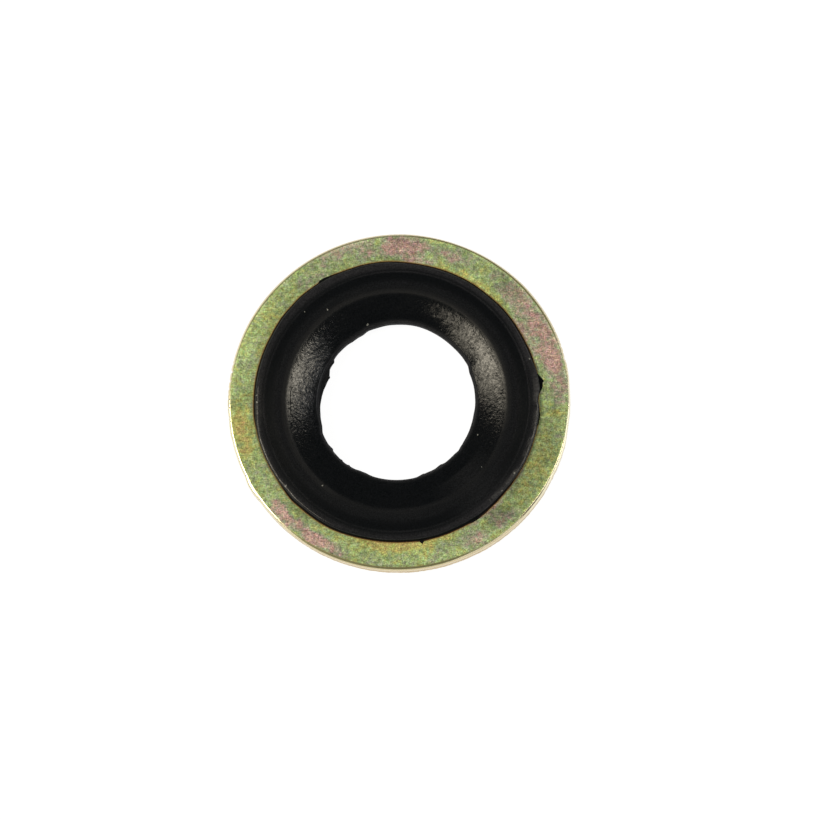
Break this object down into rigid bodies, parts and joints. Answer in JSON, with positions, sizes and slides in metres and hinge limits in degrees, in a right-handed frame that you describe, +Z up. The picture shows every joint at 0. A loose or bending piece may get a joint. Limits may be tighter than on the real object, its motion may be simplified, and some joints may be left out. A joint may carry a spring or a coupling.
{
  "type": "bonded sealing washer",
  "caption": "Flat round sealing washer: a stamped, yellow-passivated steel ring with a wide black rubber seal bonded in its hole, standing proud of both faces.",
  "frame": {"origin": "below the middle of the steel ring, in the plane that the seal's lower crest rests on", "axes": "+Z up along the bore. The hole and its seal sit 0.18 mm off the ring's middle, towards -X. The face with the stamped ring's rounded edge looks to +Z"},
  "size_m": [0.027, 0.027, 0.003],
  "materials": {
    "passivated_steel": "zinc plated and yellow passivated: satin, yellow-green with pink patches",
    "black_rubber": "moulded black rubber, matt with a fine pebbled grain on the inner slope"
  },
  "bodies": {
    "root": {"steel_ring": "passivated_steel", "rubber_seal": "black_rubber"}
  },
  "joints": []
}
